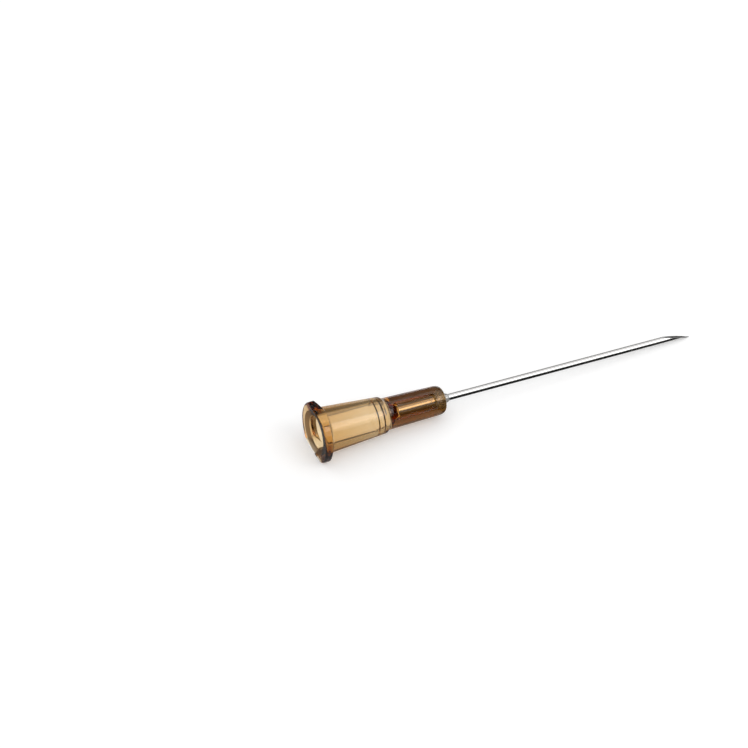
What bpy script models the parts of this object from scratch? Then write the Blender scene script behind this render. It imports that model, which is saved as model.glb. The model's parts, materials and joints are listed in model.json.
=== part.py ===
"""Hypodermic needle with a translucent luer lock hub, lying on a table.

Metres, +Z up. The needle points along +X and rests on one flat of its flange and on its tip.
Each piece is modelled along its own Z axis, with z = 0 on the hub's open rear face and the tip
at the far end. An empty then lays the axis down. In that axis frame -X is up and -Y is the front.
"""

from math import atan2, cos, pi, radians, sin, sqrt, tan

import bmesh
import bpy
from mathutils import Matrix, Vector

MM = 0.001

# Hub: the flange with its two locking lugs
FLANGE_RADIUS = 3.90 * MM
FLANGE_RIM_THICKNESS = 0.62 * MM
FLANGE_EDGE_ROUND = 0.28 * MM
LUG_FLANK_LENGTH = 0.55 * MM
FLAT_DISTANCE = 3.08 * MM
FLAT_FOOT_MARGIN = 0.03 * MM
FLAT_HOLLOW = 0.02 * MM

# Hub: the tapered barrel
HUB_LENGTH = 17.45 * MM
BARREL_LENGTH = 9.15 * MM
BARREL_REAR_RADIUS = 2.95 * MM
BARREL_FRONT_RADIUS = 2.33 * MM
SHOULDER_RUN = 0.40 * MM
SHOULDER_EDGE_ROUND = 0.10 * MM

# Hub: the luer socket, a 6 % taper on the diameter that ends in small steps and a funnel
SOCKET_MOUTH_RADIUS = 2.14 * MM
SOCKET_TAPER = 0.06
SOCKET_DEPTH = 8.0 * MM
LEAD_IN = 0.22 * MM
STEP_LENGTH = 0.62 * MM
STEP_DEPTH = 0.11 * MM
STEP_DRAFT = 0.055 * MM
STEP_COUNT = 3
FUNNEL_LENGTH = 0.85 * MM

# Hub: the nose, with its relief pockets and the glue well round the cannula
NOSE_REAR_RADIUS = 2.03 * MM
NOSE_FRONT_RADIUS = 1.86 * MM
NOSE_CROWN_LENGTH = 0.95 * MM
NOSE_FACE_RADIUS = 1.28 * MM
POCKET_COUNT = 3
POCKET_ANGLE = radians(72)
POCKET_ROLL = radians(224)
POCKET_FLOOR_RADIUS = 1.52 * MM
POCKET_SETBACK = 0.45 * MM
POCKET_RAMP = 0.90 * MM
POCKET_FRONT_WALL = 0.50 * MM
POCKET_FRONT_DRAFT = radians(14)
POCKET_FILLET = 0.16 * MM
WELL_RADIUS = 0.78 * MM
WELL_DEPTH = 1.10 * MM

# Steel cannula, with a long bevel and two lancet facets ground on its point
CANNULA_RADIUS = 0.44 * MM
CANNULA_WALL = 0.135 * MM
EXPOSED_LENGTH = 34.05 * MM
CANNULA_SEAT = 0.20 * MM
BEVEL_ANGLE = radians(12.4)
BEVEL_ROLL = radians(157)
LANCET_ANGLE = radians(19)
LANCET_ROLL = radians(38)

# Adhesive that bonds the cannula in the nose
FILLET_HEIGHT = 0.72 * MM
FILLET_FOOT_RADIUS = 0.66 * MM
FILLET_TOP_WALL = 0.05 * MM
BOND_GAP = 0.03 * MM

# Facets, and how far a cutter runs past the surface that it cuts
HUB_STEPS = 72
SMALL_STEPS = 40
ARC_POINTS = 6
EDGE_ARC_POINTS = 3
POCKET_STEPS = 10
CUT_OVERRUN = 0.5 * MM

# Places that follow from the sizes above
RIM_FRONT = FLANGE_EDGE_ROUND + FLANGE_RIM_THICKNESS
FLANGE_TOP = RIM_FRONT + LUG_FLANK_LENGTH
FLAT_FOOT = BARREL_REAR_RADIUS + FLAT_FOOT_MARGIN
NOSE_START = BARREL_LENGTH + SHOULDER_RUN
CROWN_START = HUB_LENGTH - NOSE_CROWN_LENGTH
SOCKET_FLOOR = SOCKET_DEPTH + STEP_COUNT * STEP_LENGTH
FUNNEL_TOP = SOCKET_FLOOR + FUNNEL_LENGTH
HOLE_RADIUS = CANNULA_RADIUS + BOND_GAP
WELL_BOTTOM = HUB_LENGTH - WELL_DEPTH
CANNULA_START = FUNNEL_TOP + CANNULA_SEAT
TIP_HEIGHT = HUB_LENGTH + EXPOSED_LENGTH

# The ground planes of the point: where each faces round the axis, and its slope to the axis
GRINDS = {
    "bevel_cutter": (BEVEL_ROLL, BEVEL_ANGLE),
    "lancet_cutter_left": (BEVEL_ROLL - LANCET_ROLL, LANCET_ANGLE),
    "lancet_cutter_right": (BEVEL_ROLL + LANCET_ROLL, LANCET_ANGLE),
}


def clear_scene():
    for item in list(bpy.data.objects):
        bpy.data.objects.remove(item, do_unlink=True)


def new_collection(name):
    group = bpy.data.collections.new(name)
    bpy.context.scene.collection.children.link(group)
    return group


def new_material(name, colour, roughness, metallic, alpha=1.0):
    made = bpy.data.materials.new(name)
    made.use_nodes = True
    shader = made.node_tree.nodes["Principled BSDF"]
    shader.inputs["Base Color"].default_value = (*colour, 1.0)
    shader.inputs["Roughness"].default_value = roughness
    shader.inputs["Metallic"].default_value = metallic
    shader.inputs["Alpha"].default_value = alpha
    return made


def arc(centre_r, centre_z, radius, start, end, count):
    """Points of a rounding in the (radius, height) plane, from one angle to the other."""
    points = []
    for i in range(count + 1):
        angle = start + (end - start) * i / count
        points.append((centre_r + radius * cos(angle), centre_z + radius * sin(angle)))
    return points


def turned(name, profile, steps, group):
    """A closed profile of (radius, height) points turned once round Z."""
    mesh = bpy.data.meshes.new(name)
    shape = bmesh.new()
    corners = [shape.verts.new((r, 0.0, z)) for r, z in profile]
    for i, corner in enumerate(corners):
        shape.edges.new((corner, corners[(i + 1) % len(corners)]))
    shape.to_mesh(mesh)
    shape.free()
    piece = bpy.data.objects.new(name, mesh)
    group.objects.link(piece)
    screw = piece.modifiers.new("turn", "SCREW")
    screw.steps = steps
    screw.render_steps = steps
    screw.use_merge_vertices = True
    screw.merge_threshold = 0.000001
    return piece


def new_cutter(name, shape, group):
    """Makes the mesh an object that only cuts, and is not part of the needle."""
    mesh = bpy.data.meshes.new(name)
    shape.to_mesh(mesh)
    shape.free()
    cutter = bpy.data.objects.new(name, mesh)
    group.objects.link(cutter)
    cutter.hide_render = True
    cutter.display_type = "WIRE"
    return cutter


def cut(piece, cutter):
    boolean = piece.modifiers.new(cutter.name, "BOOLEAN")
    boolean.operation = "DIFFERENCE"
    boolean.solver = "EXACT"
    boolean.object = cutter


def block_cutter(name, size, place, group):
    """A box of the given size, moved to its place by the matrix."""
    shape = bmesh.new()
    bmesh.ops.create_cube(shape, size=1.0)
    bmesh.ops.scale(shape, vec=size, verts=shape.verts)
    bmesh.ops.transform(shape, matrix=place, verts=shape.verts)
    return new_cutter(name, shape, group)


def socket_radius(height):
    return SOCKET_MOUTH_RADIUS - 0.5 * SOCKET_TAPER * height


def crown_profile():
    """The rounded front end of the nose, from its flat face out to its side."""
    drop = NOSE_FRONT_RADIUS - NOSE_FACE_RADIUS
    points = []
    for i in range(ARC_POINTS + 1):
        angle = (pi / 2) * (1 - i / ARC_POINTS)
        r = NOSE_FACE_RADIUS + drop * cos(angle)
        points.append((r, CROWN_START + NOSE_CROWN_LENGTH * sin(angle)))
    return points


def hub_profile():
    """Down the outside from the nose, across the rear face and up the inside of the socket."""
    outside = crown_profile()
    outside.append((NOSE_REAR_RADIUS, NOSE_START))
    edge = SHOULDER_EDGE_ROUND
    centre = BARREL_FRONT_RADIUS - edge
    outside += arc(centre, BARREL_LENGTH, edge, pi / 2, 0.0, EDGE_ARC_POINTS)
    outside.append((BARREL_REAR_RADIUS, FLANGE_TOP))
    outside.append((FLANGE_RADIUS, RIM_FRONT))
    edge = FLANGE_EDGE_ROUND
    outside += arc(FLANGE_RADIUS - edge, edge, edge, 0.0, -pi / 2, ARC_POINTS)
    inside = [(socket_radius(0.0) + LEAD_IN, 0.0)]
    inside.append((socket_radius(LEAD_IN), LEAD_IN))
    radius = socket_radius(SOCKET_DEPTH)
    inside.append((radius, SOCKET_DEPTH))
    for i in range(STEP_COUNT):
        radius -= STEP_DEPTH
        bottom = SOCKET_DEPTH + i * STEP_LENGTH
        inside.append((radius, bottom + STEP_DRAFT))
        inside.append((radius, bottom + STEP_LENGTH))
    inside.append((HOLE_RADIUS, FUNNEL_TOP))
    inside.append((HOLE_RADIUS, WELL_BOTTOM))
    inside.append((WELL_RADIUS, WELL_BOTTOM))
    inside.append((WELL_RADIUS, HUB_LENGTH))
    return outside + inside


def flat_cutter(name, roll, group):
    """A leaning block that trims the flange to a flat. Its inner face ends at the flank's foot.

    A low ridge runs up the middle of that face, because a moulded flat sinks a little there. So
    the flange stands on the two rear corners of its flat.
    """
    lean = atan2(FLAT_DISTANCE - FLAT_FOOT, FLANGE_TOP)
    length = FLANGE_TOP / cos(lean) + CUT_OVERRUN
    depth = FLANGE_RADIUS
    side = FLANGE_RADIUS + CUT_OVERRUN
    corner = sqrt((FLANGE_RADIUS - FLANGE_EDGE_ROUND) ** 2 - FLAT_DISTANCE**2)
    section = [(-FLAT_HOLLOW, 0.0), (0.0, corner), (0.0, side), (depth, side)]
    section += [(depth, -side), (0.0, -side), (0.0, -corner)]
    shape = bmesh.new()
    face = shape.faces.new([shape.verts.new((x, y, 0.0)) for x, y in section])
    grown = bmesh.ops.extrude_face_region(shape, geom=[face])["geom"]
    far_end = [item for item in grown if isinstance(item, bmesh.types.BMVert)]
    bmesh.ops.translate(shape, vec=(0.0, 0.0, -length), verts=far_end)
    bmesh.ops.recalc_face_normals(shape, faces=shape.faces)
    place = (
        Matrix.Rotation(roll, 4, "Z")
        @ Matrix.Translation((FLAT_FOOT, 0.0, FLANGE_TOP))
        @ Matrix.Rotation(-lean, 4, "Y")
    )
    bmesh.ops.transform(shape, matrix=place, verts=shape.verts)
    return new_cutter(name, shape, group)


def pocket_cutter(index, group):
    """One relief pocket: its long section, with a ramp at the rear, spun round the axis."""
    start = NOSE_START + POCKET_SETBACK
    end = CROWN_START - POCKET_FRONT_WALL
    outer = NOSE_REAR_RADIUS + CUT_OVERRUN
    ramp_slope = POCKET_RAMP / (NOSE_REAR_RADIUS - POCKET_FLOOR_RADIUS)
    section = [
        (outer, start - ramp_slope * CUT_OVERRUN),
        (POCKET_FLOOR_RADIUS, start + POCKET_RAMP),
        (POCKET_FLOOR_RADIUS, end),
        (outer, end + (outer - POCKET_FLOOR_RADIUS) * tan(POCKET_FRONT_DRAFT)),
    ]
    shape = bmesh.new()
    face = shape.faces.new([shape.verts.new((r, 0.0, z)) for r, z in section])
    roll = POCKET_ROLL + 2 * pi * index / POCKET_COUNT - POCKET_ANGLE / 2
    turn = Matrix.Rotation(roll, 4, "Z")
    bmesh.ops.transform(shape, matrix=turn, verts=shape.verts)
    spun = bmesh.ops.spin(
        shape,
        geom=list(face.edges),
        axis=(0, 0, 1),
        angle=POCKET_ANGLE,
        steps=POCKET_STEPS,
    )
    last = [item for item in spun["geom_last"] if isinstance(item, bmesh.types.BMEdge)]
    bmesh.ops.contextual_create(shape, geom=last)
    bmesh.ops.recalc_face_normals(shape, faces=shape.faces)
    cutter = new_cutter(f"pocket_cutter_{index + 1}", shape, group)
    rounding = cutter.modifiers.new("rounded corners", "BEVEL")
    rounding.width = POCKET_FILLET
    rounding.segments = 3
    rounding.limit_method = "ANGLE"
    rounding.angle_limit = radians(35)
    return cutter


def grind_cutter(name, roll, angle, group):
    """A block whose lower face is one ground plane through the sharp point of the tip."""
    reach = 2 * CANNULA_RADIUS / tan(angle) + CUT_OVERRUN
    width = 4 * CANNULA_RADIUS
    depth = 2 * CANNULA_RADIUS + reach
    point = Matrix.Rotation(BEVEL_ROLL, 4, "Z") @ Vector((-CANNULA_RADIUS, 0.0, TIP_HEIGHT))
    place = (
        Matrix.Translation(point)
        @ Matrix.Rotation(roll, 4, "Z")
        @ Matrix.Rotation(-angle, 4, "Y")
        @ Matrix.Translation((depth / 2, 0.0, CUT_OVERRUN / 2 - reach / 2))
    )
    return block_cutter(name, (depth, width, reach + CUT_OVERRUN), place, group)


def make_hub(group, cutters):
    hub = turned("hub", hub_profile(), HUB_STEPS, group)
    cut(hub, flat_cutter("flat_cutter_down", 0.0, cutters))
    cut(hub, flat_cutter("flat_cutter_up", pi, cutters))
    for index in range(POCKET_COUNT):
        cut(hub, pocket_cutter(index, cutters))
    return hub


def make_cannula(group, cutters):
    bore = CANNULA_RADIUS - CANNULA_WALL
    profile = [
        (CANNULA_RADIUS, TIP_HEIGHT),
        (CANNULA_RADIUS, CANNULA_START),
        (bore, CANNULA_START),
        (bore, TIP_HEIGHT),
    ]
    cannula = turned("cannula", profile, SMALL_STEPS, group)
    for name, (roll, angle) in GRINDS.items():
        cut(cannula, grind_cutter(name, roll, angle, cutters))
    return cannula


def make_adhesive(group):
    """Fills the glue well round the cannula and creeps up it as a small fillet."""
    inner = CANNULA_RADIUS + BOND_GAP
    outer = WELL_RADIUS - BOND_GAP
    top = HUB_LENGTH + FILLET_HEIGHT
    foot = HUB_LENGTH + BOND_GAP
    bottom = WELL_BOTTOM + BOND_GAP
    reach = FILLET_FOOT_RADIUS - inner - FILLET_TOP_WALL
    profile = [(inner, top)]
    for i in range(ARC_POINTS + 1):
        angle = (pi / 2) * i / ARC_POINTS
        r = FILLET_FOOT_RADIUS - reach * cos(angle)
        profile.append((r, top - (top - foot) * sin(angle)))
    profile += [(outer, foot), (outer, bottom), (inner, bottom)]
    return turned("adhesive", profile, SMALL_STEPS, group)


def ground_height(direction):
    """How far along the axis the tube's outside reaches in one direction before it is ground."""
    heights = []
    for roll, angle in GRINDS.values():
        lift = cos(direction - roll) - cos(BEVEL_ROLL + pi - roll)
        heights.append(TIP_HEIGHT - CANNULA_RADIUS * lift / tan(angle))
    return min(heights)


def resting_tilt():
    """The tilt at which the tip touches down while the flange stands on its flat's rear edge."""
    tilts = []
    for i in range(SMALL_STEPS):
        direction = 2 * pi * i / SMALL_STEPS
        drop = FLAT_DISTANCE - CANNULA_RADIUS * cos(direction)
        tilts.append(atan2(drop, ground_height(direction)))
    return min(tilts)


def lay_down(pieces, group):
    """Rests one flat of the flange and the tip on z = 0, with the length centred on x = 0."""
    tilt = resting_tilt()
    front_end = TIP_HEIGHT * cos(tilt) + CANNULA_RADIUS * cos(BEVEL_ROLL) * sin(tilt)
    rear_end = -FLAT_DISTANCE * sin(tilt)
    axis = bpy.data.objects.new("needle_axis", None)
    group.objects.link(axis)
    axis.rotation_euler = (0.0, pi / 2 + tilt, 0.0)
    axis.location = (-(front_end + rear_end) / 2, 0.0, FLAT_DISTANCE * cos(tilt))
    for piece in pieces:
        piece.parent = axis


def main():
    clear_scene()
    group = new_collection("hypodermic_needle")
    cutters = new_collection("cutters")
    hub = make_hub(group, cutters)
    cannula = make_cannula(group, cutters)
    adhesive = make_adhesive(group)
    amber = new_material("amber_plastic", (0.52, 0.27, 0.09), 0.12, 0.0, 0.55)
    steel = new_material("ground_steel", (0.72, 0.72, 0.71), 0.22, 1.0)
    glue = new_material("clear_adhesive", (0.85, 0.84, 0.80), 0.18, 0.0, 0.6)
    hub.data.materials.append(amber)
    cannula.data.materials.append(steel)
    adhesive.data.materials.append(glue)
    lay_down([hub, cannula, adhesive] + list(cutters.objects), group)


main()
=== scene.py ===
# %% [markdown]
# # A hypodermic needle with a luer lock hub
#
# A ward needle is three pieces: a hub moulded in translucent amber polypropylene, a drawn steel
# tube ground to a point, and the small collar of adhesive that bonds the tube in the hub. The
# whole thing is 51.6 mm long, so every size here is a few millimetres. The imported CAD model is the
# fixed frame: each visible piece replaces its own solid, at the same place and the same size.

import json
from math import atan2, cos, degrees, pi, radians, sin

import bmesh
import bpy
from mathutils import Matrix, Vector


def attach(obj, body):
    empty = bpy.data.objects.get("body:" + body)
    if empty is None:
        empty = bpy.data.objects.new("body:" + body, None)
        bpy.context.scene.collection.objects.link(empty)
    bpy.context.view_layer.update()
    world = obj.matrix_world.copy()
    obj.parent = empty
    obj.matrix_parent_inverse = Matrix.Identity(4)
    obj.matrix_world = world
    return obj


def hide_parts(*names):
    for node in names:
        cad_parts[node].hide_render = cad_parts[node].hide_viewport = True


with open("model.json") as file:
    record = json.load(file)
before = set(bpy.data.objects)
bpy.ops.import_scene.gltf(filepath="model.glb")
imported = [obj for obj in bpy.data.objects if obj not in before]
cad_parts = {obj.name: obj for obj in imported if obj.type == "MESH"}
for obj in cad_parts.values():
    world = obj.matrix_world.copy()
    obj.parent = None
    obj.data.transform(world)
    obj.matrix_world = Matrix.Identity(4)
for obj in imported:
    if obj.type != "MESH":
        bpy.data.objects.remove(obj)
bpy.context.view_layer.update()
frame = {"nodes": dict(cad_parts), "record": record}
print("nodes:", sorted(frame["nodes"]))

# %% [markdown]
# ## Where the needle lies
#
# A needle can't stand, so it rests on one flat of its flange and on its point. Its axis dips
# 2.95 degrees towards the point. Each piece is modelled upright on the Z axis, with the open rear
# face of the hub at height zero, because rings are easy to make there. Then it is laid down once,
# and its place is applied to its mesh, so that its object ends at the origin, unturned.

# %% The axis and the laying down
MM = 0.001
REAR_FACE_AXIS = frame["record"]["mounts"][0]["axis"]
AXIS_TURN = pi / 2 - atan2(-REAR_FACE_AXIS[2], -REAR_FACE_AXIS[0])
AXIS_PLACE = (-25.626 * MM, 0.0, 3.0759 * MM)


def deselect_all():
    bpy.ops.object.select_all(action="DESELECT")


def make_active(piece):
    deselect_all()
    piece.select_set(True)
    bpy.context.view_layer.objects.active = piece


def lay_down(piece):
    make_active(piece)
    piece.rotation_euler = (0.0, AXIS_TURN, 0.0)
    piece.location = AXIS_PLACE
    bpy.ops.object.transform_apply(location=True, rotation=True, scale=True)


print("the axis leans", round(degrees(AXIS_TURN) - 90, 2), "degrees below level")

# %% [markdown]
# ## The camera
#
# The photograph was taken with a long lens from above and a little to the left of the hub, so the
# picture is nearly free of perspective. The angles come from the shape of the flange's outline and
# the length of the tube against its thickness. The camera stands a metre away and looks down at
# 44 degrees, and its lens takes in a width of 92.6 mm.

# %% Camera
VIEW_ELEVATION = radians(44)
VIEW_AZIMUTH = radians(-23.7)
VIEW_DISTANCE = 1.0
VIEW_WIDTH = 92.6 * MM
SENSOR_WIDTH = 36.0
NEAREST_SEEN, FARTHEST_SEEN = 0.01, 20.0
PICTURE_CENTRE = Vector((-16.78, 1.66, 8.33)) * MM

look = Vector((
    -sin(VIEW_AZIMUTH) * cos(VIEW_ELEVATION),
    cos(VIEW_AZIMUTH) * cos(VIEW_ELEVATION),
    -sin(VIEW_ELEVATION),
))
camera_data = bpy.data.cameras.new("camera")
camera_data.sensor_width = SENSOR_WIDTH
camera_data.lens = SENSOR_WIDTH * VIEW_DISTANCE / VIEW_WIDTH
camera_data.clip_start = NEAREST_SEEN
camera_data.clip_end = FARTHEST_SEEN
camera = bpy.data.objects.new("camera", camera_data)
bpy.context.scene.collection.objects.link(camera)
camera.location = PICTURE_CENTRE - VIEW_DISTANCE * look
camera.rotation_euler = look.to_track_quat("-Z", "Y").to_euler()
bpy.context.scene.camera = camera
bpy.context.scene.view_settings.view_transform = "Standard"
print("lens", round(camera_data.lens, 1), "mm")

# %% [markdown]
# ## Turning on rings
#
# A lathe part could be spun from a half profile, which leaves a seam to merge. It is as easy to
# stack rings in edit mode: add a circle, then extrude it, move it up and scale it, once for each
# point of the profile. A bare ring can't be extruded in face mode, which has nothing to take hold
# of, so vertex mode is set first. At the end the last ring is bridged to the first.

# %% Rings
def start_ring(name, radius, height, corners, turn=0.0):
    deselect_all()
    bpy.ops.mesh.primitive_circle_add(
        vertices=corners, radius=radius, location=(0.0, 0.0, height), rotation=(0.0, 0.0, turn)
    )
    piece = bpy.context.object
    piece.name = name
    piece.data.name = name
    bpy.ops.object.transform_apply(location=True, rotation=True, scale=True)
    bpy.ops.object.mode_set(mode="EDIT")
    bpy.ops.mesh.select_mode(type="VERT")
    bpy.ops.mesh.select_all(action="SELECT")
    return piece


def next_ring(before, after):
    """Extrudes the selected ring from one (radius, height) to the next."""
    size = after[0] / before[0]
    bpy.ops.mesh.extrude_region_move(
        TRANSFORM_OT_translate={"value": (0.0, 0.0, after[1] - before[1])}
    )
    bpy.ops.transform.resize(value=(size, size, 1.0), center_override=(0.0, 0.0, after[1]))


def turn_rings(name, profile, corners, turn=0.0):
    """A closed ring-shaped body from a closed profile of (radius, height) points."""
    piece = start_ring(name, profile[0][0], profile[0][1], corners, turn)
    for before, after in zip(profile, profile[1:]):
        next_ring(before, after)
    bpy.ops.mesh.select_all(action="DESELECT")
    bpy.ops.mesh.select_mode(type="EDGE")
    bpy.ops.mesh.select_non_manifold()
    bpy.ops.mesh.bridge_edge_loops()
    bpy.ops.mesh.select_all(action="SELECT")
    bpy.ops.mesh.normals_make_consistent(inside=False)
    bpy.ops.object.mode_set(mode="OBJECT")
    print(name + ":", len(profile), "rings of", corners, "corners,", len(piece.data.polygons), "faces")
    return piece


# %% [markdown]
# ## Cages
#
# The hub and the adhesive are soft-edged, so they are made as coarse cages and subdivided. Two
# rings close together keep an edge crisp, and rings that are further apart leave it soft. A
# subdivided ring of corners lies a little inside its cage, so the cage is made larger by the same
# share.

# %% Cage helpers
HUB_CORNERS = 30
GLUE_CORNERS = 16


def cage_size(corners):
    """How much larger a cage ring is than the ring that it becomes."""
    return 3.0 / (2.0 + cos(2 * pi / corners))


def soften(piece, levels):
    make_active(piece)
    smoothing = piece.modifiers.new("subdivide", "SUBSURF")
    smoothing.levels = levels
    smoothing.render_levels = levels
    bpy.ops.object.modifier_apply(modifier=smoothing.name)


print("the hub's cage is", round(cage_size(HUB_CORNERS), 4), "times as wide as the hub")

# %% [markdown]
# ## The sizes of the hub
#
# The hub is one moulding with three jobs. The flange and its lugs lock into the syringe, the socket
# seals on the syringe's tip, and the nose holds the tube. The sizes are in millimetres, radii from
# the axis and heights from the rear face, and they are scaled when the rings are made.

# %% Hub sizes
NOSE_START, CROWN_START, NOSE_END = 9.55, 16.5, 17.45
NOSE_REAR, NOSE_FRONT = 2.03, 1.86
CROWN_FACE, CROWN_ROUND, CROWN_RISE = 1.28, 0.58, 0.95
BARREL_START, BARREL_END = 1.45, 9.15
BARREL_REAR, BARREL_FRONT = 2.95, 2.33
FLANGE_RADIUS, RIM_FRONT, EDGE_ROUND = 3.90, 0.90, 0.28
COUNTERSINK_RADIUS = 2.88
SOCKET_MOUTH, SOCKET_TAPER = 2.14, 0.03
STEP_STARTS, STEP_RUN, STEP_DEPTH = (7.9, 8.7, 9.45), 0.17, 0.145
CRISP = 0.05
FUNNEL_TOP, WELL_BOTTOM, WELL_RADIUS = 10.71, 16.35, 0.775
TUBE_RADIUS, TUBE_START = 0.44, 10.91
BOND = 0.005
HOLE_RADIUS = TUBE_RADIUS - BOND


def nose_radius(height):
    share = (height - NOSE_START) / (CROWN_START - NOSE_START)
    return NOSE_REAR + (NOSE_FRONT - NOSE_REAR) * share


def barrel_radius(height):
    share = (height - BARREL_START) / (BARREL_END - BARREL_START)
    return BARREL_REAR + (BARREL_FRONT - BARREL_REAR) * share


def socket_radius(height):
    return SOCKET_MOUTH - SOCKET_TAPER * height


print("wall of the barrel:", round(barrel_radius(2.0) - socket_radius(2.0), 2), "mm near the flange")

# %% [markdown]
# ## The outside of the hub
#
# The profile starts at the front of the nose, turns over the rounded crown, and runs down the nose
# and the shoulder. It goes on down the tapered barrel to the flange, round the flange's edge and
# across the rear face. No moulding has perfectly sharp corners, so each gets two or more rings.

# %% Outer profile
def crown_points():
    points = [(WELL_RADIUS, NOSE_END - 0.04), (WELL_RADIUS + 0.01, NOSE_END)]
    points += [(0.86, NOSE_END), (1.05, NOSE_END)]
    for degrees_up in (84, 66, 48, 30, 12):
        angle = radians(degrees_up)
        points.append((CROWN_FACE + CROWN_ROUND * cos(angle), CROWN_START + CROWN_RISE * sin(angle)))
    return points


def nose_points():
    heights = [16.45, 16.25, POCKET_FRONT, 15.6, 13.6, 11.6, POCKET_REAR, 9.80, 9.62]
    points = [(nose_radius(h), h) for h in heights]
    points += [(NOSE_REAR, NOSE_START), (2.07, 9.49), (2.20, 9.295), (2.255, 9.235), (2.31, 9.18)]
    return points


def barrel_points():
    points = [(barrel_radius(h), h) for h in (9.08, 8.9, 7.5, 6.0, 4.5, 3.0, 1.9, 1.56)]
    points += [(BARREL_REAR + 0.01, 1.47), (3.05, 1.395), (3.45, 1.16), (3.82, 0.95)]
    return points


def flange_points():
    points = [(FLANGE_RADIUS, height) for height in (RIM_FRONT, 0.83, 0.6, 0.38)]
    centre = FLANGE_RADIUS - EDGE_ROUND
    for degrees_down in (10, 35, 60, 85):
        angle = radians(degrees_down)
        points.append((centre + EDGE_ROUND * cos(angle), EDGE_ROUND - EDGE_ROUND * sin(angle)))
    points += [(3.5, 0.0), (3.2, 0.0), (2.96, 0.0)]
    return points


POCKET_REAR, POCKET_FRONT = 9.96, 16.15
outer_profile = crown_points() + nose_points() + barrel_points() + flange_points()
print("outer profile:", len(outer_profile), "points")

# %% [markdown]
# ## The inside of the hub
#
# A shallow countersink leads into the luer socket, which is a cone with a 6 % taper, made to grip
# a syringe's tip. Beyond it come three small steps, then a funnel that leads to the tube's hole,
# and at the very front a well for the adhesive. The hole is made a hair tight and the adhesive a
# hair wide, so that the bonded pieces meet with no gap showing through the clear plastic.

# %% Inner profile
def socket_points():
    points = [(COUNTERSINK_RADIUS, 0.0), (COUNTERSINK_RADIUS - 0.05, 0.02)]
    points += [(2.50, 0.18), (2.19, 0.32), (socket_radius(0.37), 0.37)]
    points += [(socket_radius(h), h) for h in (0.45, 0.7, 2.0, 4.0, 6.0, 7.4)]
    radius = socket_radius(STEP_STARTS[0])
    for start in STEP_STARTS:
        points += [(radius, start - CRISP), (radius, start)]
        radius -= STEP_DEPTH
        points += [(radius, start + STEP_RUN), (radius, start + STEP_RUN + CRISP)]
    return points


def funnel_points():
    radius = socket_radius(STEP_STARTS[0]) - len(STEP_STARTS) * STEP_DEPTH
    points = [(radius - 0.01, 9.86), (1.38, 9.97), (1.0, 10.3), (0.53, 10.64)]
    points += [(HOLE_RADIUS, height) for height in (FUNNEL_TOP, 10.8, 13.0, 16.28, WELL_BOTTOM)]
    points += [(radius, WELL_BOTTOM) for radius in (0.52, 0.7, WELL_RADIUS)]
    points += [(WELL_RADIUS, 16.43), (WELL_RADIUS, 17.2)]
    return points


inner_profile = socket_points() + funnel_points()
print("inner profile:", len(inner_profile), "points")

# %% [markdown]
# ## Turn the hub
#
# Both profiles make one closed loop, so one run of rings gives the whole moulding, outside and
# inside. Thirty corners are enough, because the cage is subdivided twice later. They are turned by
# 2 degrees so that the pockets' sides fall on lines of corners.

# %% Hub cage
hub_grow = cage_size(HUB_CORNERS) * MM
hub_rings = [(radius * hub_grow, height * MM) for radius, height in outer_profile + inner_profile]
hub = turn_rings("hub_moulding", hub_rings, HUB_CORNERS, turn=radians(2))

# %% [markdown]
# ## Choosing by place
#
# By hand, the next faces would be picked with the mouse. In code they are chosen by a test of their
# place or direction. The helper also says how many it found, which shows at once if a test is wrong.

# %% Choosing helper
def choose(piece, kind, test):
    """In edit mode, selects only the verts, edges or faces that pass the test."""
    modes = {"verts": "VERT", "edges": "EDGE", "faces": "FACE"}
    bpy.ops.mesh.select_mode(type=modes[kind])
    bpy.ops.mesh.select_all(action="DESELECT")
    shape = bmesh.from_edit_mesh(piece.data)
    count = 0
    for item in getattr(shape, kind):
        if test(item):
            item.select = True
            count += 1
    shape.select_flush_mode()
    bmesh.update_edit_mesh(piece.data)
    return count


def count_triangles(piece):
    return sum(len(face.vertices) - 2 for face in piece.data.polygons)


print("hub cage:", count_triangles(hub), "triangles")

# %% [markdown]
# ## The relief pockets in the nose
#
# A moulded nose this thick would sink as it cools, so the maker takes plastic out of its sides and
# leaves three pockets with lands between them. A boolean cut would leave hard edges and long thin
# faces. By hand it is an inset and a few small extrusions towards the axis, which keep the cage in
# order. The narrow loops next to the rim and the floor keep those edges tight when the cage is
# subdivided, and the rear end of each pocket runs out in a ramp.

# %% Pocket steps
POCKET_STARTS = (188, 308, 68)
POCKET_ANGLE = 72
POCKET_FLOOR = 1.52 * hub_grow
RAMP_RUN = 0.86 * MM
FRONT_RUN = 0.09 * MM
SAME_HEIGHT = 0.001 * MM


def in_pocket(face):
    centre = face.calc_center_median()
    angle = degrees(atan2(centre.y, centre.x))
    inside = any((angle - start) % 360 < POCKET_ANGLE for start in POCKET_STARTS)
    outside_radius = centre.xy.length > POCKET_FLOOR
    return inside and outside_radius and POCKET_REAR * MM < centre.z < POCKET_FRONT * MM


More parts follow.
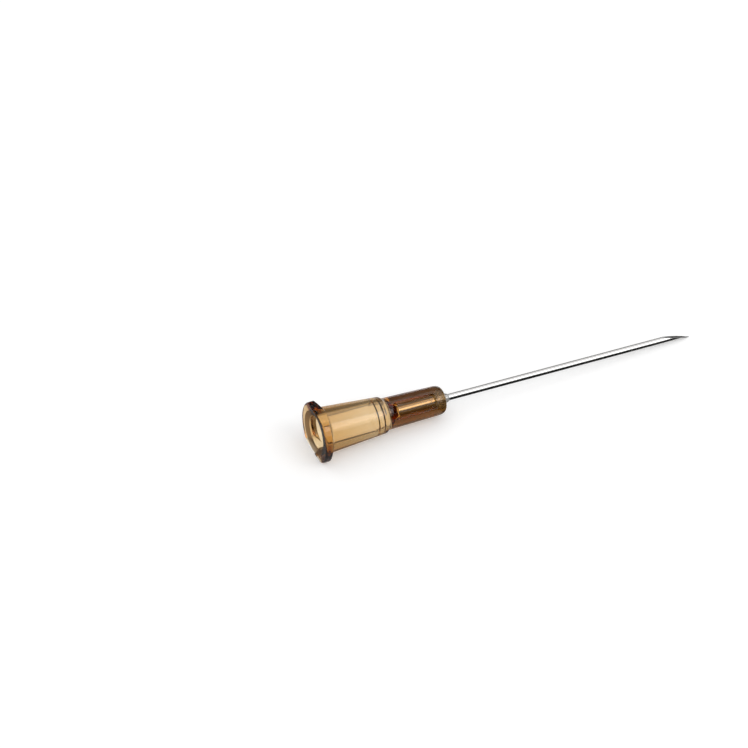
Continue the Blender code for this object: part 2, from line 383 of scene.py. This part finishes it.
def sink(piece, share_before, share):
    """Extrudes the chosen faces towards the axis, to this share of the pocket's whole depth."""
    bpy.ops.mesh.extrude_region_move()
    shape = bmesh.from_edit_mesh(piece.data)
    shape.verts.ensure_lookup_table()
    shape.verts.index_update()
    shape.faces.index_update()
    floor = [vert.index for vert in shape.verts if vert.select]
    faces = [face.index for face in shape.faces if face.select]
    heights = sorted({round(shape.verts[i].co.z, 7) for i in floor})
    for order, height in enumerate(heights):
        shape = bmesh.from_edit_mesh(piece.data)
        shape.verts.ensure_lookup_table()
        group = {i for i in floor if abs(shape.verts[i].co.z - height) < SAME_HEIGHT}
        radius = max(shape.verts[i].co.xy.length for i in group)
        rim = (radius - share_before * POCKET_FLOOR) / (1 - share_before)
        goal = rim + share * (POCKET_FLOOR - rim)
        choose(piece, "verts", lambda vert: vert.index in group)
        inwards = (goal / radius, goal / radius, 1.0)
        bpy.ops.transform.resize(value=inwards, center_override=(0, 0, height))
        run = {0: RAMP_RUN, len(heights) - 1: -FRONT_RUN}.get(order, 0.0)
        bpy.ops.transform.translate(value=(0.0, 0.0, run * (share - share_before)))
    choose(piece, "faces", lambda face: face.index in faces)


print("pockets:", len(POCKET_STARTS), "of", POCKET_ANGLE, "degrees")

# %% [markdown]
# ## Press the pockets and subdivide
#
# The rim loop comes first, then three steps inwards, and a last loop on the floor. The steps give
# the side walls rings of their own, without which subdividing would round the pocket into a dent.

# %% Press the pockets
RIM_LOOP = 0.18 * MM
FLOOR_LOOP = 0.09 * MM
PRESS_SHARES = (0.42, 0.85, 1.0)

make_active(hub)
bpy.ops.object.mode_set(mode="EDIT")
print("faces pressed in:", choose(hub, "faces", in_pocket))
bpy.ops.mesh.inset(thickness=RIM_LOOP, depth=0.0)
for share_before, share in zip((0.0,) + PRESS_SHARES, PRESS_SHARES):
    sink(hub, share_before, share)
bpy.ops.mesh.inset(thickness=FLOOR_LOOP, depth=0.0)
bpy.ops.object.mode_set(mode="OBJECT")
soften(hub, 2)
print("hub after subdividing:", count_triangles(hub), "triangles")

# %% [markdown]
# ## The two flats of the flange
#
# The flange is not round: two flats leave two locking lugs, which catch the thread of the syringe's
# collar. A flat is a clean cut, so the flange's faces are bisected by a plane and the hole is
# filled. Each flat leans in a little towards the front, as draft lets it leave the mould. Then the
# new edge is broken with a very small bevel, as a moulded edge is.

# %% Cutting a flat
FLAT_REAR, FLAT_FRONT = 3.08 * MM, 2.97 * MM
FLAT_LEAN = (FLAT_REAR - FLAT_FRONT) / (BARREL_START * MM)
FLANGE_ZONE_HEIGHT, FLANGE_ZONE_RADIUS = 2.2 * MM, 2.42 * MM
EDGE_BREAK = 0.035 * MM
CUT_TOLERANCE = 0.00001 * MM
PLANE_TOLERANCE = 0.0005 * MM
SAME_DIRECTION = 0.99999


def cut_flat(piece, side):
    """side is 1 for the flat that lies on the table and -1 for the one on top."""
    normal = Vector((side, 0.0, FLAT_LEAN)).normalized()
    point = Vector((side * FLAT_REAR, 0.0, 0.0))

    def on_flange(face):
        centre = face.calc_center_median()
        low = centre.z < FLANGE_ZONE_HEIGHT
        return low and centre.xy.length > FLANGE_ZONE_RADIUS and centre.x * side > 0

    def on_plane(face):
        return all(abs((vert.co - point).dot(normal)) < PLANE_TOLERANCE for vert in face.verts)

    def on_cut(edge):
        return sum(abs(f.normal.dot(normal)) > SAME_DIRECTION and on_plane(f) for f in edge.link_faces) == 1

    choose(piece, "faces", on_flange)
    bpy.ops.mesh.bisect(
        plane_co=point, plane_no=normal, use_fill=True, clear_outer=True, threshold=CUT_TOLERANCE
    )
    print("edges round the flat:", choose(piece, "edges", on_cut))
    bpy.ops.mesh.bevel(offset=EDGE_BREAK, segments=2, affect="EDGES", clamp_overlap=True)


print("the flats lean", round(degrees(FLAT_LEAN), 1), "degrees")

# %% [markdown]
# ## Cut the flats and lay the hub down
#
# The flats come after subdividing, because a cage would round them off. Merging doubles clears what
# the two cuts leave on the old corners. Smooth shading stops at edges of more than 38 degrees, so
# the flats stay crisp.

# %% Finish the hub
make_active(hub)
bpy.ops.object.mode_set(mode="EDIT")
for side in (1, -1):
    cut_flat(hub, side)
bpy.ops.mesh.select_all(action="SELECT")
bpy.ops.mesh.remove_doubles(threshold=PLANE_TOLERANCE)
bpy.ops.mesh.normals_make_consistent(inside=False)
bpy.ops.object.mode_set(mode="OBJECT")
lay_down(hub)
bpy.ops.object.shade_smooth_by_angle(angle=radians(38))
print("hub:", count_triangles(hub), "triangles")

# %% [markdown]
# ## The steel tube
#
# The cannula is a drawn tube of 0.88 mm outside and 0.61 mm inside. It is turned on rings like the
# hub, but with 64 corners and no subdividing, because a drawn tube is straight and its ends are
# sharp. The long walls get a few rings on the way, so that no face is as long as the tube.

# %% Cannula
TUBE_BORE = 0.305
TUBE_END = 51.5
TUBE_CORNERS = 64
STEEL_FINISHES = ("drawn", "ground", "bore")

tube_heights = [10.93, 17.0, 24.0, 31.0, 38.0, 44.0, 48.0, TUBE_END]
tube_profile = [(TUBE_BORE, h) for h in reversed(tube_heights)]
tube_profile += [(TUBE_BORE + 0.015, TUBE_START), (TUBE_RADIUS - 0.02, TUBE_START)]
tube_profile += [(TUBE_RADIUS, h) for h in tube_heights]
tube_rings = [(radius * MM, height * MM) for radius, height in tube_profile]
cannula = turn_rings("steel_cannula", tube_rings, TUBE_CORNERS)

make_active(cannula)
while len(cannula.material_slots) < len(STEEL_FINISHES):
    bpy.ops.object.material_slot_add()
bpy.ops.object.mode_set(mode="EDIT")
bore_reach = (TUBE_BORE + 0.005) * MM
print("bore faces:", choose(cannula, "faces", lambda face: face.calc_center_median().xy.length < bore_reach))
cannula.active_material_index = STEEL_FINISHES.index("bore")
bpy.ops.object.material_slot_assign()

# %% [markdown]
# ## The ground point
#
# A needle is sharpened on a wheel in three passes through one sharp corner: a long bevel first,
# then two lancet facets, each turned 38 degrees round the axis to one side. Bisecting by those
# planes and filling the cut does the same to the mesh. The edges of the ground faces are marked
# sharp, and the faces get a finish of their own.

# %% Grind the point
BEVEL_ROLL = radians(157)
LANCET_ROLL = radians(38)
BEVEL_SLOPE, LANCET_SLOPE = radians(12.4), radians(19)
SHARP_POINT = Vector((-TUBE_RADIUS * cos(BEVEL_ROLL), -TUBE_RADIUS * sin(BEVEL_ROLL), TUBE_END)) * MM


def grind(piece, roll, slope):
    """Takes off what stands outside one plane through the sharp point, and marks its edges."""
    normal = Vector((cos(roll) * cos(slope), sin(roll) * cos(slope), sin(slope)))

    def is_ground(face):
        return abs(face.normal.dot(normal)) > SAME_DIRECTION

    bpy.ops.mesh.select_all(action="SELECT")
    bpy.ops.mesh.bisect(
        plane_co=SHARP_POINT, plane_no=normal, use_fill=True, clear_outer=True, threshold=CUT_TOLERANCE
    )
    found = choose(piece, "faces", is_ground)
    bpy.ops.mesh.region_to_loop()
    bpy.ops.mesh.mark_sharp()
    choose(piece, "faces", is_ground)
    piece.active_material_index = STEEL_FINISHES.index("ground")
    bpy.ops.object.material_slot_assign()
    return found


for roll, slope in (
    (BEVEL_ROLL, BEVEL_SLOPE),
    (BEVEL_ROLL - LANCET_ROLL, LANCET_SLOPE),
    (BEVEL_ROLL + LANCET_ROLL, LANCET_SLOPE),
):
    print("ground faces:", grind(cannula, roll, slope))
bpy.ops.mesh.select_all(action="SELECT")
bpy.ops.mesh.normals_make_consistent(inside=False)
bpy.ops.object.mode_set(mode="OBJECT")
lay_down(cannula)
bpy.ops.object.shade_smooth_by_angle(angle=radians(30), keep_sharp_edges=True)
print("cannula:", count_triangles(cannula), "triangles")

# %% [markdown]
# ## The collar of adhesive
#
# The glue fills the well in the nose and creeps a little way up the steel, so it ends in a thin
# edge. It is turned on rings like the hub. A drop never dries quite even, so its top is tipped a
# few degrees before the cage is subdivided.

# %% Adhesive
GLUE_TOP = NOSE_END + 0.74
GLUE_IN_WELL = WELL_RADIUS + 0.01
TIPPED_FROM, TIPPED_ROUND, TIPPED_BY = 17.9 * MM, 18.0 * MM, radians(7)

glue_profile = [(HOLE_RADIUS, height) for height in (16.45, 17.2, GLUE_TOP - 0.05)]
glue_profile += [(0.45, GLUE_TOP), (0.49, GLUE_TOP - 0.03)]
glue_profile += [(0.55, 18.04), (0.60, 17.90), (0.63, 17.72), (0.69, 17.55), (0.76, 17.475)]
glue_profile += [(GLUE_IN_WELL, height) for height in (17.44, 17.2, 16.7)]
glue_profile += [(WELL_RADIUS, 16.38), (0.6, 16.36), (0.46, 16.37)]
glue_grow = cage_size(GLUE_CORNERS) * MM
glue_rings = [(radius * glue_grow, height * MM) for radius, height in glue_profile]
adhesive = turn_rings("glue_collar", glue_rings, GLUE_CORNERS)
make_active(adhesive)
bpy.ops.object.mode_set(mode="EDIT")
choose(adhesive, "verts", lambda vert: vert.co.z > TIPPED_FROM)
bpy.ops.transform.rotate(value=TIPPED_BY, orient_axis="X", center_override=(0.0, 0.0, TIPPED_ROUND))
bpy.ops.object.mode_set(mode="OBJECT")
soften(adhesive, 2)
lay_down(adhesive)
bpy.ops.object.shade_smooth_by_angle(angle=radians(60))
print("adhesive:", count_triangles(adhesive), "triangles")

# %% [markdown]
# ## Building materials from nodes
#
# Every finish starts from the Principled shader. Nodes could be wired by hand in the shader editor,
# and these helpers do the same: one adds a node with its values, and one joins two nodes.

# %% Node helpers
def new_material(name):
    made = bpy.data.materials.new(name)
    made.use_nodes = True
    return made, made.node_tree, made.node_tree.nodes["Principled BSDF"]


def add(tree, kind, settings=None, **values):
    """A node of that kind, with its settings and with the values of its named sockets."""
    made = tree.nodes.new(kind)
    for name, value in (settings or {}).items():
        setattr(made, name, value)
    for name, value in values.items():
        made.inputs[name.replace("_", " ")].default_value = value
    return made


def join(tree, source, target, output=0, socket=0):
    tree.links.new(source.outputs[output], target.inputs[socket])


def combined(tree, operation, first, second):
    """One Math node that reads the first output of two nodes."""
    made = add(tree, "ShaderNodeMath", {"operation": operation})
    join(tree, first, made, 0, 0)
    join(tree, second, made, 0, 1)
    return made


def report_material(material):
    print(material.name + ":", len(material.node_tree.nodes), "nodes")


# %% [markdown]
# ## Patterns that follow the needle
#
# A pattern has to lie along the needle, which itself lies tilted. So each pattern reads the
# object's coordinates through a Mapping node that undoes the laying down, and Z then runs along
# the needle. A second Mapping node stretches the pattern: few cycles along Z make long streaks.

# %% Pattern helpers
def along_the_axis(tree, scale):
    """Object coordinates with Z along the needle, stretched by the scale."""
    place = add(tree, "ShaderNodeTexCoord")
    upright = add(tree, "ShaderNodeMapping", {"vector_type": "TEXTURE"})
    upright.inputs["Location"].default_value = AXIS_PLACE
    upright.inputs["Rotation"].default_value = (0.0, AXIS_TURN, 0.0)
    stretch = add(tree, "ShaderNodeMapping", {"vector_type": "POINT"})
    stretch.inputs["Scale"].default_value = scale
    join(tree, place, upright, "Object", "Vector")
    join(tree, upright, stretch, "Vector", "Vector")
    return stretch


def noise(tree, scale, detail=3.0, roughness=0.5):
    """Noise whose scale is given as cycles per metre across and along the needle."""
    pattern = add(tree, "ShaderNodeTexNoise", Scale=1.0, Detail=detail, Roughness=roughness)
    join(tree, along_the_axis(tree, scale), pattern, "Vector", "Vector")
    return pattern


def ranged(tree, source, low, high, start=0.3, end=0.7, output=0):
    """Maps the part of a value from start to end onto the values from low to high."""
    spread = add(tree, "ShaderNodeMapRange", From_Min=start, From_Max=end, To_Min=low, To_Max=high)
    join(tree, source, spread, output, "Value")
    return spread


def blended(tree, source, first, second):
    """Mixes two colours by a pattern."""
    mixed = add(tree, "ShaderNodeMix", {"data_type": "RGBA"})
    mixed.inputs["A"].default_value = (*first, 1.0)
    mixed.inputs["B"].default_value = (*second, 1.0)
    join(tree, source, mixed, 0, "Factor")
    return mixed


def bumped(tree, source, distance, under=None):
    bump = add(tree, "ShaderNodeBump", Strength=1.0, Distance=distance)
    join(tree, source, bump, 0, "Height")
    if under is not None:
        join(tree, under, bump, "Normal", "Normal")
    return bump


print("patterns are turned", round(degrees(AXIS_TURN), 2), "degrees to lie along the needle")

# %% [markdown]
# ## The ring round the socket's mouth
#
# The countersink round the mouth looks darker and duller than the rest of the rear face. Its
# darkness is the way it bends light, so here the ring is made matt and its darker colour is painted
# shade: a mask picks out a ring by its distance from the axis and its height. A vertex group could
# do that too, but a mask from coordinates has edges as sharp as one likes.

# %% Mouth ring
RING_OUTER, RING_INNER, RING_DEPTH = 2.87, 2.19, 0.40
RING_FADE = 0.03


def matt_and_shaded_ring(tree):
    """1 on the ring round the socket's mouth, which is made matt and gets painted shade, and 0 elsewhere."""
    parts = add(tree, "ShaderNodeSeparateXYZ")
    join(tree, along_the_axis(tree, (1.0, 1.0, 1.0)), parts, "Vector", "Vector")
    across = add(tree, "ShaderNodeCombineXYZ")
    join(tree, parts, across, "X", "X")
    join(tree, parts, across, "Y", "Y")
    radius = add(tree, "ShaderNodeVectorMath", {"operation": "LENGTH"})
    join(tree, across, radius, "Vector", 0)
    inside = []
    for node, output, outer_edge, inner_edge in (
        (radius, "Value", RING_OUTER + RING_FADE, RING_OUTER),
        (radius, "Value", RING_INNER - RING_FADE, RING_INNER),
        (parts, "Z", RING_DEPTH + RING_FADE, RING_DEPTH),
    ):
        inside.append(ranged(tree, node, 0.0, 1.0, outer_edge * MM, inner_edge * MM, output))
    return combined(tree, "MULTIPLY", combined(tree, "MULTIPLY", inside[0], inside[1]), inside[2])


print("mouth ring:", RING_INNER, "to", RING_OUTER, "mm from the axis")

# %% [markdown]
# ## Amber polypropylene
#
# The hub is dyed through, so its colour comes from how far light travels in it: a thin wall is pale
# and the solid nose is deep. A tinted surface can't do that, so the colour is a Volume Absorption
# under a clear, glossy surface. The surface carries the faint waves of a polished mould, a fine
# grain in its gloss, and a duller finish where edges rub in the packet.

# %% Amber plastic
PLASTIC_IOR = 1.49
DYE_COLOUR, DYE_DENSITY = (0.80, 0.55, 0.07, 1.0), 1000.0
CLEAR_TINT, CLOUDY_TINT = (1.0, 0.975, 0.94), (0.965, 0.925, 0.875)
# The ring's dark colour is painted shade, not a colour of the plastic.
RING_PAINTED_SHADE = (0.12, 0.085, 0.06, 1.0)
RING_DULLNESS = 0.45


def amber_clouds_and_ring_shade(tree, ring):
    """Faint clouds in the clear surface, and painted shade on the ring round the mouth."""
    clouds = noise(tree, (260, 260, 170), detail=2.0)
    tint = blended(tree, ranged(tree, clouds, 0.0, 1.0), CLEAR_TINT, CLOUDY_TINT)
    # Painted shade darkens the ring round the mouth.
    ring_shaded = add(tree, "ShaderNodeMix", {"data_type": "RGBA"})
    join(tree, ring, ring_shaded, 0, "Factor")
    join(tree, tint, ring_shaded, "Result", "A")
    ring_shaded.inputs["B"].default_value = RING_PAINTED_SHADE
    return ring_shaded


def amber_roughness(tree, ring):
    """A fine grain in the gloss, duller on worn edges and dullest on the ring."""
    grain = ranged(tree, noise(tree, (2600, 2600, 1800), detail=4.0, roughness=0.6), 0.05, 0.11)
    edges = add(tree, "ShaderNodeNewGeometry")
    worn = ranged(tree, edges, 0.0, 0.10, 0.52, 0.62, "Pointiness")
    duller = add(tree, "ShaderNodeMath", {"operation": "MULTIPLY_ADD"})
    join(tree, ring, duller, 0, 0)
    duller.inputs[1].default_value = RING_DULLNESS
    join(tree, combined(tree, "ADD", grain, worn), duller, 0, 2)
    return duller


def make_amber():
    material, tree, shader = new_material("amber_polypropylene")
    shader.inputs["IOR"].default_value = PLASTIC_IOR
    shader.inputs["Transmission Weight"].default_value = 1.0
    ring = matt_and_shaded_ring(tree)
    join(tree, amber_clouds_and_ring_shade(tree, ring), shader, "Result", "Base Color")
    join(tree, amber_roughness(tree, ring), shader, 0, "Roughness")
    waves = bumped(tree, noise(tree, (700, 700, 260), detail=1.0), 0.004 * MM)
    fine = bumped(tree, noise(tree, (5200, 5200, 3000), detail=3.0), 0.0006 * MM, under=waves)
    join(tree, fine, shader, "Normal", "Normal")
    dye = add(tree, "ShaderNodeVolumeAbsorption", Color=DYE_COLOUR, Density=DYE_DENSITY)
    join(tree, dye, tree.nodes["Material Output"], "Volume", "Volume")
    return material


amber = make_amber()
hub.data.materials.clear()
hub.data.materials.append(amber)
report_material(amber)

# %% [markdown]
# ## Steel
#
# A drawn tube carries very fine lines along its length, left by the die, which show as streaks in
# its shine. The ground planes carry lines across them instead, left by the wheel, and shine less;
# their dark grey tone is a painted reflection of dark surroundings. The bore is never polished, so
# it stays rough, and its near-black tone is painted shade inside the hollow tube. All three are the
# same metal, so one recipe makes them, and only the direction of the lines, the gloss and the tone
# change.

# %% Steel
def make_steel(name, lines, dull, shiny, depth, dark, light):
    material, tree, shader = new_material(name)
    shader.inputs["Metallic"].default_value = 1.0
    streaks = noise(tree, lines, detail=4.0, roughness=0.65)
    tone = blended(tree, ranged(tree, streaks, 0.0, 1.0), dark, light)
    join(tree, tone, shader, "Result", "Base Color")
    join(tree, ranged(tree, streaks, shiny, dull), shader, 0, "Roughness")
    broad = bumped(tree, noise(tree, (900, 900, 60), detail=1.0), 0.002 * MM)
    fine = bumped(tree, streaks, depth, under=broad)
    join(tree, fine, shader, "Normal", "Normal")
    report_material(material)
    return material


steels = {
    "drawn": make_steel(
        "drawn_steel", (14000, 14000, 220), 0.20, 0.10, 0.0006 * MM, (0.66, 0.65, 0.635), (0.78, 0.775, 0.765)
    ),
    # The ground faces' dark grey tone is a painted reflection of dark surroundings.
    "ground": make_steel(
        "ground_point_steel_painted_reflection", (900, 900, 16000), 0.34, 0.20, 0.0009 * MM,
        (0.16, 0.16, 0.16), (0.27, 0.27, 0.27)
    ),
    # The bore's near-black tone is painted shade inside the hollow tube.
    "bore": make_steel(
        "bore_steel_painted_shade", (6000, 6000, 300), 0.60, 0.45, 0.0009 * MM, (0.035, 0.033, 0.031), (0.07, 0.067, 0.063)
    ),
}
for index, finish in enumerate(STEEL_FINISHES):
    cannula.data.materials[index] = steels[finish]

# %% [markdown]
# ## Adhesive
#
# The cured resin is almost clear, but over bright steel it looks like a grey-white collar. It gets
# much transmission, a little white of its own, and the faint clouds and dimples of a cured drop.

# %% Adhesive finish
def make_glue():
    material, tree, shader = new_material("cured_adhesive")
    shader.inputs["Transmission Weight"].default_value = 0.80
    shader.inputs["IOR"].default_value = 1.5
    clouds = noise(tree, (2400, 2400, 2400), detail=3.0)
    tint = blended(tree, ranged(tree, clouds, 0.0, 1.0), (0.72, 0.72, 0.71), (0.90, 0.90, 0.89))
    join(tree, tint, shader, "Result", "Base Color")
    join(tree, ranged(tree, clouds, 0.12, 0.30), shader, 0, "Roughness")
    join(tree, bumped(tree, noise(tree, (4200, 4200, 4200)), 0.01 * MM), shader, "Normal", "Normal")
    report_material(material)
    return material


adhesive.data.materials.clear()
adhesive.data.materials.append(make_glue())

# %% [markdown]
# ## The floor
#
# The photograph is a packshot: everything round the needle is white. The floor is a plain pale
# surface that takes the needle's shadow, with a little white of its own for the eye, for
# reflections and for what is seen through the plastic. More light would reach white too, but it
# would wash out the needle, so only what is seen directly gets the lift.

# %% Floor
FLOOR_SIZE = 6.0
FLOOR_LIFT = 0.20
WHITE = (1.0, 1.0, 1.0, 1.0)


def seen_directly(tree):
    """1 for the camera, for reflections and for rays through clear plastic, and 0 for light."""
    rays = add(tree, "ShaderNodeLightPath")
    either = add(tree, "ShaderNodeMath", {"operation": "MAXIMUM"})
    any_of = add(tree, "ShaderNodeMath", {"operation": "MAXIMUM"})
    join(tree, rays, either, "Is Camera Ray", 0)
    join(tree, rays, either, "Is Glossy Ray", 1)
    join(tree, either, any_of, 0, 0)
    join(tree, rays, any_of, "Is Transmission Ray", 1)
    return any_of


def matt_white_glow(name, grey):
    """A matt grey finish whose glow is white, with the glow's strength still to be set."""
    material, tree, shader = new_material(name)
    shader.inputs["Base Color"].default_value = (grey, grey, grey, 1.0)
    shader.inputs["Roughness"].default_value = 1.0
    shader.inputs["Specular IOR Level"].default_value = 0.0
    shader.inputs["Emission Color"].default_value = WHITE
    return material, tree, shader


def make_floor():
    deselect_all()
    bpy.ops.mesh.primitive_plane_add(size=FLOOR_SIZE, location=(0.0, 0.0, 0.0))
    floor = bpy.context.object
    floor.name = "floor"
    material, tree, shader = matt_white_glow("white_floor", 0.90)
    lift = add(tree, "ShaderNodeMath", {"operation": "MULTIPLY"})
    join(tree, seen_directly(tree), lift, 0, 0)
    lift.inputs[1].default_value = FLOOR_LIFT
    join(tree, lift, shader, 0, "Emission Strength")
    floor.data.materials.append(material)
    report_material(material)


make_floor()

# %% [markdown]
# ## The light
#
# A white tent all round lights the needle evenly, as in a product studio. One large soft box in
# front adds a gentle highlight along the needle. A smaller lamp of the same power draws a hard
# bright streak on the barrel, which the photograph doesn't show.

# %% Tent and soft box
TENT_STRENGTH = 0.86
BOX_SIZE, BOX_POWER, BOX_DISTANCE = (0.30, 0.26), 0.45, 0.5
BOX_DIRECTION = Vector((0.437, -0.526, 0.730)).normalized()


def make_tent():
    world = bpy.data.worlds.new("white_tent")
    bpy.context.scene.world = world
    world.use_nodes = True
    tree = world.node_tree
    lit = tree.nodes["Background"]
    lit.inputs["Color"].default_value = WHITE
    lit.inputs["Strength"].default_value = TENT_STRENGTH
    seen = add(tree, "ShaderNodeBackground", Color=WHITE, Strength=1.0)
    mix = add(tree, "ShaderNodeMixShader")
    join(tree, seen_directly(tree), mix, 0, 0)
    join(tree, lit, mix, 0, 1)
    join(tree, seen, mix, 0, 2)
    join(tree, mix, tree.nodes["World Output"], 0, "Surface")


def make_soft_box():
    """A lamp in front and to the right, turned so that its long side runs along the needle."""
    lamp = bpy.data.lights.new("soft_box", "AREA")
    lamp.shape = "RECTANGLE"
    lamp.size, lamp.size_y = BOX_SIZE
    lamp.energy = BOX_POWER
    box = bpy.data.objects.new("soft_box", lamp)
    bpy.context.scene.collection.objects.link(box)
    needle = Vector((1.0, 0.0, 0.0))
    along = (needle - needle.dot(BOX_DIRECTION) * BOX_DIRECTION).normalized()
    across = BOX_DIRECTION.cross(along)
    box.location = BOX_DIRECTION * BOX_DISTANCE
    box.rotation_euler = Matrix((along, across, BOX_DIRECTION)).transposed().to_euler()


make_tent()
make_soft_box()
print("tent at", TENT_STRENGTH, "and a soft box of", BOX_POWER, "W")

# %% [markdown]
# ## Cards for the edges
#
# Clear plastic and polished steel look empty in an all-white tent: here the steel turns nearly
# white and the nose turns pale. So a photographer lays dark cards round them, out of the picture,
# to draw their edges, and puts a slip of white card behind a clear part to make it glow. These
# cards cast no shadow, and are seen only in reflections or through the plastic.
#
# The dark card in front draws the black line along the underside of the steel tube, and the grey
# one does the same more softly for the hub. The dim card and its three slips are seen only through
# the plastic: they keep the nose deep and let the barrel glow.

# %% Cards on the table
WIDE = 500
ON_TABLE, ON_CARD = 0.01, 0.02
NOSE_LINE = -8.2


def finish_card(card, grey, in_gloss, through, glow=0.0):
    """Paints a card and says where it is seen: in reflections, through plastic, or both."""
    material, _, shader = matt_white_glow(card.name + "_paper", grey)
    shader.inputs["Emission Strength"].default_value = glow
    card.data.materials.append(material)
    card.visible_camera = False
    card.visible_diffuse = False
    card.visible_shadow = False
    card.visible_volume_scatter = False
    card.visible_glossy = in_gloss
    card.visible_transmission = through
    print(card.name + ":", "reflected" if in_gloss else "", "seen through" if through else "")


def make_card(name, corner, far_corner, height, grey, in_gloss, through, glow=0.0):
    """A flat card, level at the given height, from one (x, y) corner in millimetres to the other."""
    deselect_all()
    middle = [(a + b) / 2 * MM for a, b in zip(corner, far_corner)]
    bpy.ops.mesh.primitive_plane_add(size=1.0, location=(middle[0], middle[1], height * MM))
    card = bpy.context.object
    card.name = name
    card.scale = ((far_corner[0] - corner[0]) * MM, (far_corner[1] - corner[1]) * MM, 1.0)
    finish_card(card, grey, in_gloss, through, glow)


make_card("dark_table", (NOSE_LINE, -WIDE), (WIDE, -0.8), ON_TABLE, grey=0.02, in_gloss=True, through=False)
make_card("grey_table", (-WIDE, -WIDE), (NOSE_LINE, WIDE), ON_TABLE, grey=0.45, in_gloss=True, through=False)
make_card("dim_table", (-WIDE, -WIDE), (WIDE, WIDE), ON_TABLE, grey=0.30, in_gloss=False, through=True)
for name, corner, far_corner, glow in (
    ("white_slip", (-27.5, -0.5), (-14.5, 7.2), 1.0),
    ("near_grey_slip", (-27.5, -8.0), (-14.5, -1.1), 0.6),
    ("far_grey_slip", (-27.5, 8.2), (-12.0, 17.0), 0.6),
):
    make_card(name, corner, far_corner, ON_CARD, grey=0.0, in_gloss=False, through=True, glow=glow)

# %% [markdown]
# ## Cards round the table
#
# A grey card stands behind, and eight dark ones stand at the horizon. They outline whatever faces
# them, such as the rounded edges of the flange and the crown.

# %% Standing cards
def make_wall(name, azimuth, distance, width, height, grey):
    """An upright card round the table, at an azimuth in degrees and a distance in metres."""
    deselect_all()
    place = (cos(radians(azimuth)) * distance, sin(radians(azimuth)) * distance, height / 2)
    facing_in = (radians(90), 0.0, radians(azimuth + 90))
    bpy.ops.mesh.primitive_plane_add(size=1.0, location=place, rotation=facing_in)
    card = bpy.context.object
    card.name = name
    card.scale = (width, height, 1.0)
    finish_card(card, grey, in_gloss=True, through=True)


make_wall("back_card", azimuth=90, distance=0.5, width=2.4, height=0.50, grey=0.24)
for index in range(8):
    name = "horizon_card_" + str(index + 1)
    make_wall(name, azimuth=45 * index, distance=1.0, width=0.85, height=0.35, grey=0.02)

# %% [markdown]
# ## Tie each piece to the frame
#
# Each piece stands for its own CAD node, whose solid is hidden, and rides on the one body that a
# rigid part has.

# %% Ride and replace
for piece, node, slot in (
    (hub, "hub", "amber_plastic"),
    (cannula, "cannula", "ground_steel"),
    (adhesive, "adhesive", "clear_adhesive"),
):
    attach(piece, "root")
    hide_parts(node)
